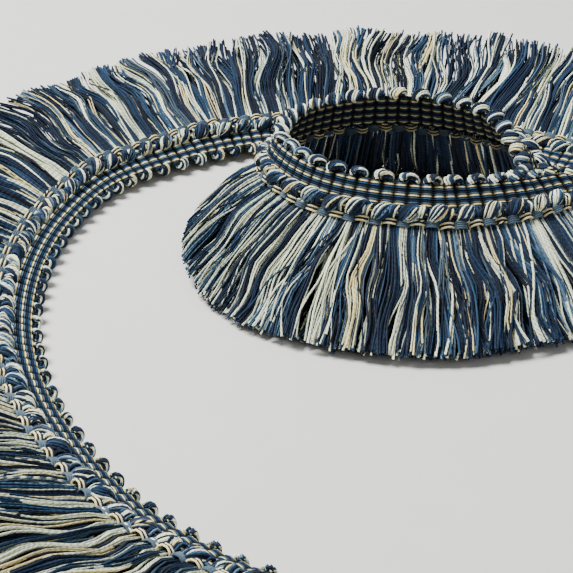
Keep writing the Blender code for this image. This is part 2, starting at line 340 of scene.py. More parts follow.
def waveThreads(tree, geometry, inputs):  # a clump sways together, each thread has kinks of its own
    clump = plus(tree, named(tree, "clump"), inputs["Seed"])
    own = plus(tree, times(tree, named(tree, "strand"), waves["apart"]), inputs["Seed"])
    sway = swayBy(tree, clump, inputs["Sway Length"], inputs["Sway Height"])
    kink = swayBy(tree, own, inputs["Kink Length"], inputs["Kink Height"])
    offset = vectorCalc(tree, "MULTIPLY", vectorCalc(tree, "ADD", sway, kink), waves["shares"])
    out = named(tree, "out", "FLOAT_VECTOR")
    length = times(tree, vectorCalc(tree, "DOT_PRODUCT", offset, out), waves["takenAlong"])
    offset = vectorCalc(tree, "SUBTRACT", offset, scaled(tree, out, length))
    return result(tree, "GeometryNodeSetPosition", {"Geometry": geometry, "Offset": offset})


threadInputs = [("Sides", "Int", 4), ("Sway Height", "Float", 0.0), ("Sway Length", "Float", 0.004),
                ("Kink Height", "Float", 0.0), ("Kink Length", "Float", 0.002), ("Seed", "Float", 1.0)]


def makeYarnTree():  # a thread along every polyline
    tree, inputs, outputs = newTree("yarnBrush", threadInputs)
    waved = waveThreads(tree, inputs["Geometry"], inputs)
    curves = result(tree, "GeometryNodeMeshToCurve", {"Mesh": waved})
    return finishTree(tree, sweepThreads(tree, curves, inputs), inputs, outputs)


rowSeeds = {"turn": 3, "size": 5}
rowSides = 4                # of each strand in a bundle
byChance = -1.0             # dye of a thread that draws its own


def randomVector(tree, seed):
    feeds = {"Min": (-1, -1, -1), "Max": (1, 1, 1), "Seed": seed}
    return result(tree, "FunctionNodeRandomValue", feeds, data_type="FLOAT_VECTOR")


def makeRowTree():  # one bundle of threads, set at every station along the heading
    tree, inputs, outputs = newTree("bundleRow", threadInputs + [
        ("Bundle", "Object"), ("Size Jitter", "Float", 0.06), ("Turn Jitter", "Float", 0.1)])
    bundle = addNode(tree, "GeometryNodeObjectInfo", {"Object": inputs["Bundle"]}).outputs["Geometry"]
    directions = {"Primary Axis": named(tree, "along", "FLOAT_VECTOR"),
                  "Secondary Axis": named(tree, "across", "FLOAT_VECTOR")}
    axes = result(tree, "FunctionNodeAxesToRotation", directions, primary_axis="X", secondary_axis="Y")
    tilt = scaled(tree, randomVector(tree, rowSeeds["turn"]), inputs["Turn Jitter"])
    tilt = result(tree, "FunctionNodeEulerToRotation", {"Euler": tilt})
    turned = result(tree, "FunctionNodeRotateRotation", {"Rotation": axes, "Rotate By": tilt},
                    rotation_space="LOCAL")
    grow = scaled(tree, randomVector(tree, rowSeeds["size"]), inputs["Size Jitter"])
    grow = vectorCalc(tree, "ADD", grow, (1, 1, 1))
    feeds = {"Points": inputs["Geometry"], "Instance": bundle, "Rotation": turned, "Scale": grow}
    row = result(tree, "GeometryNodeInstanceOnPoints", feeds)
    threads = result(tree, "GeometryNodeRealizeInstances", {"Geometry": row})
    curves = result(tree, "GeometryNodeMeshToCurve", {"Mesh": threads})
    # every thread draws its own number, for its dye and its waves
    index = result(tree, "GeometryNodeInputIndex")
    feeds = {"Max_001": 1.0, "ID": index, "Seed": inputs["Seed"]}
    draw = result(tree, "FunctionNodeRandomValue", feeds, data_type="FLOAT")
    own = result(tree, "GeometryNodeFieldOnDomain", {"Value": draw}, domain="CURVE", data_type="FLOAT")
    curves = store(tree, curves, "strand", own)
    curves = store(tree, curves, "clump", times(tree, own, waves["apart"]))
    fixed = calc(tree, "GREATER_THAN", named(tree, "dye"), byChance / 2)
    curves = store(tree, curves, "dye", mixNumbers(tree, fixed, own, named(tree, "dye")))
    waved = waveThreads(tree, curves, inputs)
    return finishTree(tree, sweepThreads(tree, waved, inputs), inputs, outputs)


def makeBandTree():  # the flat strip of rib cloth: columns along s, before it is laid
    tree, inputs, outputs = newTree("ribStrip", [
        ("Length", "Float", 1.0), ("Width", "Float", 0.01), ("Thickness", "Float", 0.001),
        ("Columns", "Int", 10), ("Steps", "Int", 4), ("Edge Points", "Int", 24)])
    count = plus(tree, times(tree, inputs["Columns"], inputs["Steps"]), 1.0)
    end = result(tree, "ShaderNodeCombineXYZ", {"X": inputs["Length"]})
    line = result(tree, "GeometryNodeCurvePrimitiveLine", {"End": end})
    line = result(tree, "GeometryNodeResampleCurve", {"Curve": line, "Count": count})
    sizes = {"Width": inputs["Thickness"], "Height": inputs["Width"]}
    shape = result(tree, "GeometryNodeCurvePrimitiveQuadrilateral", sizes)
    feeds = {"Curve": shape, "Count": inputs["Edge Points"]}
    shape = result(tree, "GeometryNodeResampleCurve", feeds)
    feeds = {"Curve": line, "Profile Curve": shape, "Fill Caps": True}
    cloth = result(tree, "GeometryNodeCurveToMesh", feeds)
    smooth = result(tree, "GeometryNodeSetShadeSmooth", {"Geometry": cloth})
    return finishTree(tree, smooth, inputs, outputs)


yarnTree = makeYarnTree()
rowTree = makeRowTree()
bandTree = makeBandTree()
print("trees: ready")

paleFrom = 0.69
dyes = [  # share at which each dye begins, and its colour
    (0.00, (0.003, 0.009, 0.023)),
    (0.14, (0.0045, 0.015, 0.041)),
    (0.34, (0.009, 0.033, 0.078)),
    (0.50, (0.024, 0.072, 0.145)),
    (0.58, (0.105, 0.195, 0.290)),
    (0.63, (0.070, 0.112, 0.152)),
    (paleFrom, (0.845, 0.91, 0.69)),
    (0.92, (0.925, 0.80, 0.41)),
]
dyeNamed = {"ink": 0.1, "navy": 0.25, "blue": 0.54, "slate": 0.66, "cream": 0.8, "gold": 0.96}


def attribute(tree, label, out="Fac"):
    return addNode(tree, "ShaderNodeAttribute", attribute_name=label).outputs[out]


def noiseAt(tree, place, detail, scale=1.0):
    feeds = {"Vector": place, "Scale": scale, "Detail": detail}
    return addNode(tree, "ShaderNodeTexNoise", feeds).outputs["Fac"]


def stepRamp(tree, share, stops):  # one colour after the other, without a blend
    ramp = tree.nodes.new("ShaderNodeValToRGB")
    ramp.color_ramp.interpolation = "CONSTANT"
    elements = ramp.color_ramp.elements
    while len(elements) < len(stops):
        elements.new(1.0)
    for element, (start, colour) in zip(elements, stops):
        element.position = start
        element.color = (*colour, 1)
    tree.links.new(share, ramp.inputs["Fac"])
    return ramp.outputs["Color"]


marks = {
    "dyeDraw": 17.3,        # what a thread's number is multiplied by for another draw
    "shadeDraw": 91.7,
    "secondDye": 0.6,       # how far the second dye may lie from the first
    "streakRate": 140.0,    # streaks to the metre
    "streakApart": 511.0,
    "streakDetail": 3.0,
    "plyPower": 0.6,        # below 1 for rounder plies
    "fibreRate": 260.0,
    "fibreApart": 733.0,
    "fibresRound": 5.0,
    "fibreDetail": 2.0,
}


def drawAgain(tree, factor):  # another number for each thread, from its own
    return calc(tree, "FRACT", times(tree, attribute(tree, "strand"), factor))


def makeDyeGroup():  # each thread's dye, a little uneven from thread to thread and along it
    tree, inputs, outputs = newGroup("Shader", "threadDye", [
        ("Thread Spread", "Float", 0.25), ("Melange", "Float", 0.3), ("Two Dyes", "Float", 0.3),
        ("Ply", "Float", 0.0)], [("Color", "Color")])
    # some threads have a second dye in one of their plies
    first = attribute(tree, "dye")
    number = drawAgain(tree, marks["dyeDraw"])
    further = times(tree, number, marks["secondDye"])
    second = calc(tree, "FRACT", plus(tree, first, further))
    mixed = times(tree, calc(tree, "LESS_THAN", number, inputs["Two Dyes"]), inputs["Ply"])
    colour = stepRamp(tree, mixNumbers(tree, mixed, first, second), dyes)
    run = times(tree, attribute(tree, "run"), marks["streakRate"])
    own = times(tree, attribute(tree, "strand"), marks["streakApart"])
    place = result(tree, "ShaderNodeCombineXYZ", {"X": run, "Y": own})
    streak = swing(tree, noiseAt(tree, place, marks["streakDetail"]), inputs["Melange"])
    spread = swing(tree, drawAgain(tree, marks["shadeDraw"]), inputs["Thread Spread"])
    value = plus(tree, plus(tree, streak, spread), 1.0)
    tree.links.new(scaled(tree, colour, value), outputs["Color"])
    return tree


def makePlyGroup():  # two plies wound round each other, and the fibres in them
    tree, inputs, outputs = newGroup("Shader", "plyTwist", [
        ("Turn Length", "Float", 0.0016), ("Groove Depth", "Float", 0.5), ("Fibre", "Float", 0.4)],
        [("Shade", "Float"), ("Height", "Float"), ("Ply", "Float")])
    around = addNode(tree, "ShaderNodeSeparateXYZ", {"Vector": attribute(tree, "around", "Vector")}).outputs
    angle = calc(tree, "ARCTAN2", around["Y"], around["X"])
    along = calc(tree, "DIVIDE", attribute(tree, "run"), inputs["Turn Length"])
    phase = plus(tree, angle, times(tree, along, math.pi))
    turned = calc(tree, "COSINE", phase)
    ply = calc(tree, "POWER", calc(tree, "ABSOLUTE", turned), marks["plyPower"])
    own = times(tree, attribute(tree, "strand"), marks["fibreApart"])
    run = times(tree, attribute(tree, "run"), marks["fibreRate"])
    side = times(tree, calc(tree, "SINE", phase), marks["fibresRound"])
    feeds = {"X": side, "Y": plus(tree, run, own), "Z": own}
    place = result(tree, "ShaderNodeCombineXYZ", feeds)
    fuzz = swing(tree, noiseAt(tree, place, marks["fibreDetail"]), inputs["Fibre"])
    # painted shade: the groove between the two plies is drawn darker
    dark = times(tree, calc(tree, "SUBTRACT", 1.0, ply), inputs["Groove Depth"])
    shade = plus(tree, calc(tree, "SUBTRACT", 1.0, dark), fuzz)
    tree.links.new(shade, outputs["Shade"])
    tree.links.new(plus(tree, ply, fuzz), outputs["Height"])
    tree.links.new(calc(tree, "GREATER_THAN", turned, 0.0), outputs["Ply"])
    return tree


dyeGroup = makeDyeGroup()
plyGroup = makePlyGroup()


def newMaterial(name, roughness, sheen=0.0, specular=0.2):
    material = bpy.data.materials.new(name)
    material.use_nodes = True
    shader = material.node_tree.nodes["Principled BSDF"]
    shader.inputs["Roughness"].default_value = roughness
    shader.inputs["Sheen Weight"].default_value = sheen
    shader.inputs["Sheen Roughness"].default_value = 0.5
    shader.inputs["Specular IOR Level"].default_value = specular
    return material, material.node_tree, shader


def joinLook(tree, shader, colour, shade, height, strength, distance):
    tree.links.new(scaled(tree, colour, shade), shader.inputs["Base Color"])
    bump = addNode(tree, "ShaderNodeBump", {"Height": height, "Strength": strength, "Distance": distance})
    tree.links.new(bump.outputs["Normal"], shader.inputs["Normal"])


def paintShade(tree, shade, mask, kept):  # painted shade: this share of the colour is kept where the mask is 1
    return times(tree, shade, calc(tree, "SUBTRACT", 1.0, times(tree, mask, 1 - kept)))


def threadMaterial(name, look):
    material, tree, shader = newMaterial(name, look["roughness"], look["sheen"])
    ply = addNode(tree, "ShaderNodeGroup", node_tree=plyGroup)
    dye = addNode(tree, "ShaderNodeGroup", node_tree=dyeGroup)
    for socket in (*ply.inputs, *dye.inputs):
        socket.default_value = look.get(socket.name, 0.0)
    tree.links.new(ply.outputs["Ply"], dye.inputs["Ply"])
    shade = ply.outputs["Shade"]
    # painted shade on the inner half of each tie
    if "reverse" in look:
        shade = paintShade(tree, shade, attribute(tree, "reverse"), look["reverse"])
    joinLook(tree, shader, dye.outputs["Color"], shade, ply.outputs["Height"], look["bump"], look["relief"])
    return material


brushLook = {"roughness": 0.85, "sheen": 0.05, "bump": 0.6, "relief": 0.00015,
             "Thread Spread": 0.4, "Melange": 0.6, "Two Dyes": 0.12,
             "Turn Length": 0.0015, "Groove Depth": 0.6, "Fibre": 0.9}
picotLook = brushLook | {"Turn Length": 0.0012, "relief": 0.0001}
gimpLook = picotLook | {"Thread Spread": 0.3}
# the ties' reverse is painted shade on their inner half
tieLook = brushLook | {"roughness": 0.7, "relief": 0.00006, "reverse": 0.45,
                       "Turn Length": 0.0009, "Groove Depth": 0.3}
brushMaterial = threadMaterial("brush_yarn", brushLook)
picotMaterial = threadMaterial("picot_yarn", picotLook)
gimpMaterial = threadMaterial("gimp_yarn", gimpLook)
tieMaterial = threadMaterial("binding_thread", tieLook)


band = {
    "width": 0.0103,
    "thickness": 0.0012,
    "columnRise": 0.0007,
    "columnPower": 0.8,     # below 1 for fuller ribs
    "pairRise": 0.0002,     # two ribs to a puff stand out together
    "pairPower": 0.7,
    "edge": 0.0006,         # the ribs fade out this near an edge
    "steps": 4,             # to a rib
    "edgePoints": 22,       # round the band
    "groove": 0.00028,      # how far the ribs crowd in on the grooves
    "warpRepeat": 0.00265,  # gold to gold
    "firstGold": 0.0009,    # how far its middle lies from the top edge
}
ribLook = {
    "roughness": 0.85,
    "specular": 0.12,
    # share of the repeat at which each warp begins, and its dye
    "warps": [(0.0, "gold"), (0.25, "ink"), (0.28, "blue"), (0.5, "navy"), (0.75, "slate"), (0.97, "ink")],
    "warpShift": 10.12,     # whole repeats that keep the share above 0, and half a gold warp
    "goldTo": 0.27,
    "bridged": 0.1,         # the gold floats part at every rib, the blue ones hardly do, so the painted shade between ribs is weaker across them
    "ribGain": 1.3,
    "ribPower": 1.5,
    "pairGain": 3.5,
    "fibreScale": (700, 3500, 900),
    "fibreDetail": 3.0,
    "threadShade": (0.3, 0.7),  # painted shade across each warp thread: darkest, and how much brighter at most
    "fibreShade": (0.55, 0.7),
    "ribHeight": 2.2,       # beside a thread's height of 1
    "fibreHeight": 0.4,
    "relief": 0.0005,
    "loopLight": 1.4,           # painted light: the band in the loop is drawn brighter by this factor, up to these sections of the path
    "loopLightTo": (13.0, 17.0),
    "reverse": 0.6,         # painted shade: how bright the reverse side is drawn, share of the right side; it faces the viewer only inside the coil
}


def bandMaterial():
    look = ribLook
    material, tree, shader = newMaterial("rib_cloth", look["roughness"], specular=look["specular"])
    place = attribute(tree, "flat", "Vector")
    flat = addNode(tree, "ShaderNodeSeparateXYZ", {"Vector": place}).outputs
    across = calc(tree, "DIVIDE", calc(tree, "SUBTRACT", flat["Y"], band["firstGold"]), band["warpRepeat"])
    share = calc(tree, "FRACT", plus(tree, across, look["warpShift"]))
    warps = [(start, next(colour for begin, colour in reversed(dyes) if dyeNamed[name] >= begin))
             for start, name in look["warps"]]
    colour = stepRamp(tree, share, warps)
    column = times(tree, calc(tree, "SUBTRACT", flat["X"], 0.5 * pitch), math.pi / pitch)
    rib = times(tree, calc(tree, "ABSOLUTE", calc(tree, "SINE", column)), look["ribGain"])
    rib = calc(tree, "POWER", calc(tree, "MINIMUM", rib, 1.0), look["ribPower"])
    pair = calc(tree, "ABSOLUTE", calc(tree, "SINE", times(tree, column, 0.5)))
    pair = calc(tree, "MINIMUM", times(tree, pair, look["pairGain"]), 1.0)
    rib = times(tree, rib, pair)
    thread = calc(tree, "ABSOLUTE", calc(tree, "SINE", times(tree, share, 4 * math.pi)))
    place = result(tree, "ShaderNodeMapping", {"Vector": place, "Scale": look["fibreScale"]})
    fibre = noiseAt(tree, place, look["fibreDetail"])
    # painted shade: the colour darkens in the grooves between the ribs and at the edges of each warp thread
    bridged = times(tree, calc(tree, "GREATER_THAN", share, look["goldTo"]), look["bridged"])
    shade = plus(tree, rib, times(tree, calc(tree, "SUBTRACT", 1.0, rib), bridged))
    for mask, (darkest, more) in ((thread, look["threadShade"]), (fibre, look["fibreShade"])):
        shade = times(tree, shade, plus(tree, darkest, times(tree, mask, more)))
    # painted light: the band's colour is lifted along the loop and fades out over these sections
    lightFirst, lightLast = (float(lengthAt(section)) for section in look["loopLightTo"])
    feeds = {"Value": flat["X"], "From Min": lightFirst, "From Max": lightLast,
             "To Min": look["loopLight"], "To Max": 1.0}
    shade = times(tree, shade, addNode(tree, "ShaderNodeMapRange", feeds).outputs["Result"])
    # painted shade on the reverse side of the band
    shade = paintShade(tree, shade, calc(tree, "LESS_THAN", flat["Z"], 0.0), look["reverse"])
    height = plus(tree, thread, times(tree, rib, look["ribHeight"]))
    height = plus(tree, height, times(tree, fibre, look["fibreHeight"]))
    joinLook(tree, shader, colour, shade, height, 1.0, look["relief"])
    return material


def makeBand():
    seed = addObject("flatStrip", bpy.data.meshes.new("flatStrip"))
    piece = runTree(seed, bandTree, {
        "Length": float(stripLength), "Width": band["width"], "Thickness": band["thickness"],
        "Columns": lockCount, "Steps": band["steps"], "Edge Points": band["edgePoints"],
        "Material": bandMaterial()}, "woven_band")
    mesh = piece.data
    places = np.empty(len(mesh.vertices) * 3)
    mesh.vertices.foreach_get("co", places)
    places = places.reshape(-1, 3)
    s = places[:, 0]
    side = places[:, 1:]
    wide = int(np.argmax(np.ptp(side, axis=0)))
    v = side[:, wide] + band["width"] / 2
    w = side[:, 1 - wide]
    phase = s / pitch - 0.5
    s = np.clip(s - band["groove"] * np.sin(2 * np.pi * phase), 0, stripLength)
    phase = s / pitch - 0.5
    rise = band["columnRise"] * np.abs(np.sin(np.pi * phase)) ** band["columnPower"]
    rise = rise + band["pairRise"] * np.abs(np.sin(np.pi * phase / 2)) ** band["pairPower"]
    inside = np.clip(np.minimum(v, band["width"] - v) / band["edge"], 0, 1)
    w = w + np.sign(w) * rise * inside
    setAttribute(mesh, "flat", np.stack([s, v, w], -1))
    setPlaces(mesh, layHeading(s, v, w))
    mesh.update()
    return piece


def stations(shares):  # carrier points at these shares of a tie's repeat
    s = np.array(shares) * 2 * pitch
    at = stripFrames(s)
    mesh = bpy.data.meshes.new("stations")
    mesh.vertices.add(len(s))
    setPlaces(mesh, layHeading(s, np.zeros(len(s)), np.zeros(len(s))))
    for label in ("along", "across"):
        setAttribute(mesh, label, at[label])
    return addObject("stations", mesh)


def bundleRow(name, bundle, places, row, material):
    values = dict(zip(("Size Jitter", "Turn Jitter", "Sway Height", "Seed"), row))
    values.update({"Bundle": bundle, "Sides": rowSides, "Material": material})
    piece = runTree(places, rowTree, values, name)
    bpy.data.objects.remove(bundle, do_unlink=True)
    return piece


picots = {
    "rise": 0.0013,
    "halfThick": 0.0005,    # the strands lie round a flat bundle
    "pinch": 0.00035,       # how far its two edges dip
    # legs and side of each strand that fills it, shares of the others' legs and of half the width
    "core": ((0.85, 0.75), (0.45, 0.75), (0.6, -0.75)),
    "coreSlant": 0.2,
    "coreSunk": 0.55,
    "winding": 1.0,         # how far the strands turn round it to either end, in radians
    "steps": 11,
    "open": 30,             # degrees below the middle where each strand ends
    # row: size and turn by chance, sway of the strands, seed
    # dyes: round the bundle, where None leaves the dye to chance
    "loop": {"yaw": 1.0, "halfWide": 0.0014, "halfLegs": 0.0015, "radius": 0.00040, "middle": -0.0006,
             "row": (0.1, 0.22, 0.0007, 3.0),
             "dyes": ("cream", "navy", None, None, "cream", None, "slate", None, "blue")},
    "coil": {"yaw": 0.55, "halfWide": 0.0018, "halfLegs": 0.0021, "radius": 0.00039, "middle": -0.0008,
             "row": (0.1, 0.22, 0.0007, 4.0),
             "dyes": ("cream", None, "navy", None, "cream", None, "navy", None, None, "ink", None, None)},
}


def picotBundle(part):  # a flat bundle slung over the band's edge
    p, own = picots, picots[part]
    strands = len(own["dyes"])
    turn = np.radians(np.linspace(-p["open"], 180 + p["open"], p["steps"]))
    share = np.linspace(-1, 1, p["steps"])
    lines = []
    for i in range(strands + len(p["core"])):
        legs = own["halfLegs"]
        angle = i * 2 * np.pi / strands + p["winding"] * share
        wide = own["halfWide"] * np.cos(angle)
        out = p["halfThick"] * np.sin(angle) - p["pinch"] * np.cos(angle) ** 2
        if i >= strands:
            legShare, sideShare = p["core"][i - strands]
            legs = own["halfLegs"] * legShare
            wide = own["halfWide"] * (sideShare + p["coreSlant"] * share)
            out = -p["coreSunk"] * p["rise"]
        leg = (legs + out) * np.cos(turn)
        y = own["middle"] - (p["rise"] + out) * np.sin(turn)
        x = leg * math.cos(own["yaw"]) - wide * math.sin(own["yaw"])
        z = leg * math.sin(own["yaw"]) + wide * math.cos(own["yaw"])
        lines.append(np.stack([x, y, z], -1))
    names = own["dyes"] + ("navy",) * len(p["core"])
    dye = np.array([dyeNamed[name] if name else byChance for name in names])[:, None]
    return threadMesh("picotBundle", np.array(lines), thick=own["radius"], dye=dye, loose=1.0)


gimp = {
    "strands": 14,
    "strandRadius": 0.00034,
    "foot": 0.0106,
    "topAt": -0.0042,       # where the puff starts beside its tie
    "footAt": 0.0005,
    "wide": 0.0048,
    "packed": 0.92,
    "turned": 0.0018,       # its strands lie side by side across the slant
    "narrow": 0.32,         # width of its ends, share of the middle
    "slowEnds": 0.1,
    "low": 0.0006,          # height of its ends
    "fullness": 0.75,
    "rounding": 3.4,        # how far its sides fall away, 4 for a half circle
    "steps": 9,
    "bridges": 5,           # strands that bridge from puff to puff
    "bridgeWide": (0.0034, 0.0022),  # at the top and at the foot
    "bridgeSlant": 0.0008,
    "bridgeIn": 0.0004,
    "bridgeLow": 0.0009,
    "bridgeBulge": 0.0018,
    "loop": {"top": 0.0063, "bulge": 0.0028, "row": (0.08, 0.08, 0.0014, 5.0)},
    "coil": {"top": 0.0062, "bulge": 0.0029, "row": (0.06, 0.06, 0.0012, 7.0)},
}


def gimpBundle(part):  # a slanting puff, and the strands between it and the next
    g = gimp
    top, bulge = g[part]["top"], g[part]["bulge"]
    t = np.linspace(0, 1, g["steps"])
    arch = np.sin(np.pi * t)
    lines = []
    for i in range(g["strands"]):
        q = i / (g["strands"] - 1) - 0.5
        wide = g["wide"] * (g["narrow"] + (1 - g["narrow"]) * arch)
        x = g["topAt"] + (g["footAt"] - g["topAt"]) * t + q * wide * g["packed"]
        y = top + (g["foot"] - top) * (t - g["slowEnds"] * np.sin(2 * np.pi * t)) - q * g["turned"] * arch
        z = g["low"] + bulge * arch ** g["fullness"] * np.sqrt(1 - g["rounding"] * q * q)
        lines.append(np.stack([x, y, z], -1))
    for i in range(g["bridges"]):
        q = i / (g["bridges"] - 1) - 0.5
        wide = g["bridgeWide"][0] * (1 - t) + g["bridgeWide"][1] * t
        x = pitch + q * wide - g["bridgeSlant"] * (1 - t)
        y = top + g["bridgeIn"] + (g["foot"] - top - 2 * g["bridgeIn"]) * t
        z = g["bridgeLow"] + g["bridgeBulge"] * arch
        lines.append(np.stack([x, y, z], -1))
    return threadMesh("gimpBundle", np.array(lines), thick=g["strandRadius"], dye=byChance, loose=arch)


ties = {
    "steps": 10,
    # each turn of thread: v from the binding line and dye
    "tie": {"turns": ((-0.00085, "slate"), (-0.00028, "slate"), (0.00028, "slate"), (0.00085, "slate")),
            "radius": 0.00036, "halfWide": 0.0019, "halfThick": 0.00155},
    "pair": {"turns": ((-0.0012, "ink"), (-0.00065, "gold"), (-0.0001, "ink"), (0.00045, "gold")),
             "radius": 0.0003, "halfWide": 0.0020, "halfThick": 0.0020},
    "row": (0.04, 0.03, 0.0, 6.0),
}


def bindingBundle():  # a tie on one lock, and a pair of gold threads on the next
    turn = np.linspace(0, 2 * np.pi, ties["steps"], endpoint=False)
    lines, thick, dye = [], [], []
    for middle, kind in ((0.0, ties["tie"]), (pitch, ties["pair"])):
        for y, name in kind["turns"]:
            x = middle + kind["halfWide"] * np.cos(turn)
            z = kind["halfThick"] * np.sin(turn)
            lines.append(np.stack([x, np.full_like(x, strip["bindingLine"] + y), z], -1))
            thick.append(kind["radius"])
            dye.append(dyeNamed[name])
    lines = np.array(lines)
    # the inner half of each turn is marked for painted shade
    return threadMesh("bindingBundle", lines, closed=True, thick=np.array(thick)[:, None],
                      dye=np.array(dye)[:, None], loose=0.0, reverse=lines[..., 2] < 0)


def makeRows():
    coilStart = lengthAt(strip["coilFrom"] - 1) / (2 * pitch)
    shares = np.arange(lockCount // 2) + 0.25
    places = {"loop": shares[shares < coilStart], "coil": shares[shares >= coilStart]}
    made = {}
    for kind, bundle, sizes, material in (("picots", picotBundle, picots, picotMaterial),
                                          ("gimp", gimpBundle, gimp, gimpMaterial)):
        for part, chosen in places.items():
            name = f"{kind}_{part}"
            made[name] = bundleRow(name, bundle(part), stations(chosen), sizes[part]["row"], material)
    name = "binding_ties"
    made[name] = bundleRow(name, bindingBundle(), stations(shares), ties["row"], tieMaterial)
    return made


brush = {
    "seed": 11,
    "lowSeed": 500,         # added for the lower yarns
    "radius": {"pale": 0.00034, "blue": 0.00027, "gold": 0.00025, "low": 0.00046},
    "radiusJitter": (0.85, 1.15),
    "goldFrom": 0.91,       # share of the dyes from which a yarn is as thin as gold thread
    "yarns": {"pale": (2, 2, 3, 4), "blue": (4, 5, 5, 6), "low": (2, 3, 4)},  # to a group
    "lowGroups": 7,         # groups to a lock
    "laneJitter": (0.2, 0.8),
    "laneWidth": 0.85,
    "strandGap": 0.00048,
    "strandTurn": 1.7,
    "fullTurn": 6.28,
    "golden": 0.618,        # steps that spread the lanes and the dyes evenly
    "dyeJitter": 0.07,
    # painted shade: a shaded lower yarn's dye share is multiplied by shadeDarken
    "shadeDarken": 0.45,
    "creamRange": (paleFrom, 0.95),
    # first section, last section, share of the groups there that turn cream
    "creamPlaces": [(0.0, 4.6, 0.3), (11.0, 15.0, 0.1), (23.4, 26.0, 0.19)],
    "topDrop": 0.18,        # how deep the upper yarns reach, share of the brush
    "tipWidth": 1.15,
    "tipSpread": 0.0013,
    "tipJitter": 0.3,
    "spreads": (0.3, 0.6, 1.1, 2.0),
    "splaySide": 0.0006,
    "splayDepth": 0.0004,
    "uneven": 0.010,
    "shortShare": 0.04,     # of the yarns, which are cut short
    "shorter": 0.07,        # by this share of their length
    "stray": 0.03,
    "straySpread": 0.004,
    "strayLayer": 1.02,
    "clumpStep": 0.12,      # numbers for the sway, alike where yarns sway together
    "lowClumps": 8,
    "groupClump": 0.04,
    "yarnClump": 0.06,
    "lowSway": 0.6,
    "kinkLength": 0.010,
    "topSteps": 10,
    "lowSteps": 6,
    "sides": 3,
    "swaySeed": 2.0,
    # staying: share of groups that stay with the lock beside them
    # ownDye: share of yarns in the lock's own dye
    # lowLayer: how near the lower yarns come to the upper ones
    # topPower: above 1 more of the upper yarns lie right on top
    # shadedShare: share of the lower groups given darker dyes, as painted shade
    # sway: height and length of a clump's sway, height of a yarn's kinks
    "loop": {"groups": 6, "innerGroups": 0, "scale": 1.15, "staying": 0.45, "ownDye": 0.86,
             "clumpSpread": 0.9, "lowLayer": 0.9, "topPower": 2.8, "shadedShare": 0.6,
             "sway": (0.019, 0.023, 0.0006)},
    "coil": {"groups": 8, "innerGroups": 7, "scale": 1.0, "staying": 0.34, "ownDye": 0.76,
             "clumpSpread": 1.4, "lowLayer": 0.6, "topPower": 1.6, "shadedShare": 0.93,
             "sway": (0.011, 0.017, 0.0011)},
}


def drawYarns(first, last, part, low):  # a row of numbers for each yarn
    b, kind = brush, brush[part]
    rng = np.random.default_rng(b["seed"] + first + (b["lowSeed"] if low else 0))
    groups = b["lowGroups"] + kind["innerGroups"] if low else kind["groups"]
    rows = []
    step = 0
    for lock in range(first, last):
        centre = (lock + 0.5) * pitch
        creamShare = sum(share for start, stop, share in b["creamPlaces"]
                         if lengthAt(start) <= centre < lengthAt(stop))
        for k in range(groups):
            lane = (k + rng.uniform(*b["laneJitter"])) / groups - 0.5
            tuck = 0.0
            if low:
                layer = rng.uniform(0.0, kind["lowLayer"])
                tuck = rng.uniform(0, 1) if k >= b["lowGroups"] else 0.0
                lane = b["golden"] * (lock * groups + k) % 1 - 0.5
            else:
                layer = 1 - b["topDrop"] * rng.random() ** kind["topPower"]
            # groups that belong to one lock share their dye, their sway and their tip
            if low or step == 0 or rng.random() > kind["staying"]:
                step += 1
                lockDye = (b["golden"] * step + rng.normal(0, b["dyeJitter"])) % 1
                lockTip = rng.normal(0, b["tipSpread"])
                clumps = b["lowClumps"] if low else kind["clumpSpread"]
                lockClump = lock * b["clumpStep"] + rng.uniform(0, clumps)
            dye = lockDye
            # painted shade: most lower yarns take a darker dye
            if low and rng.random() < kind["shadedShare"]:
                dye *= b["shadeDarken"]
            if not low and rng.random() < creamShare:
                dye = rng.uniform(*b["creamRange"])
            tip = lane * b["tipWidth"] * pitch + lockTip + rng.normal(0, b["tipJitter"]) * b["tipSpread"]
            turn = rng.uniform(0, b["fullTurn"])
            clump = lockClump + rng.normal(0, b["groupClump"])
            spread = rng.choice(b["spreads"])
            for j in range(rng.choice(b["yarns"]["low" if low else "pale" if dye > paleFrom else "blue"])):
                ring = b["strandGap"] if j else 0.0
                angle = turn + j * b["strandTurn"]
                own = dye if rng.random() < kind["ownDye"] else rng.random()
                tone = "blue" if own < paleFrom else "gold" if own > b["goldFrom"] else "pale"
                size = b["radius"]["low" if low else tone] * rng.uniform(*b["radiusJitter"])
                size *= 1 if low else kind["scale"]
                stray = not low and rng.random() < b["stray"]
                aside = rng.normal(0, b["straySpread"]) if stray else 0.0
                rows.append((
                    centre, lane * pitch * b["laneWidth"], tip + aside,
                    b["strayLayer"] if stray else layer, tuck,
                    ring * math.cos(angle), ring * math.sin(angle), spread,
                    rng.normal(0, b["splaySide"]), rng.normal(0, b["splayDepth"]),
                    1 + rng.normal(0, b["uneven"]) - (b["shorter"] if rng.random() < b["shortShare"] else 0),
                    own, rng.random(), size,
                    clump + rng.normal(0, b["yarnClump"]),
                ))
    return np.array(rows).T


lie = {
    "pointPower": 0.9,
    "tipPower": 1.15,
    "rootSpread": 0.7,
    "endMargin": 0.0002,
    "tuckIn": 0.46,         # how much shorter the innermost yarns reach
    "pressed": 0.45,        # how deep the brush still is in its ties
    "pressedTo": 0.15,      # share of their length up to which the yarns are pressed
    "depth": 0.0017,
    "thinner": 0.4,
    "tipLift": 0.0004,
    "rootBack": 0.0016,     # how far back inside its tie a yarn begins
    "looseTo": 0.74,        # the sway grows from the tie and ebbs a little at the tip
    "loosePower": 1.2,
    "floorGap": 0.0002,
    "floorSpare": 0.0016,   # what sways down to the floor stays above it
    "taper": ((0, 0.8), (-2, 1.12), (-1, 1.25)),  # point, share of the radius there
}


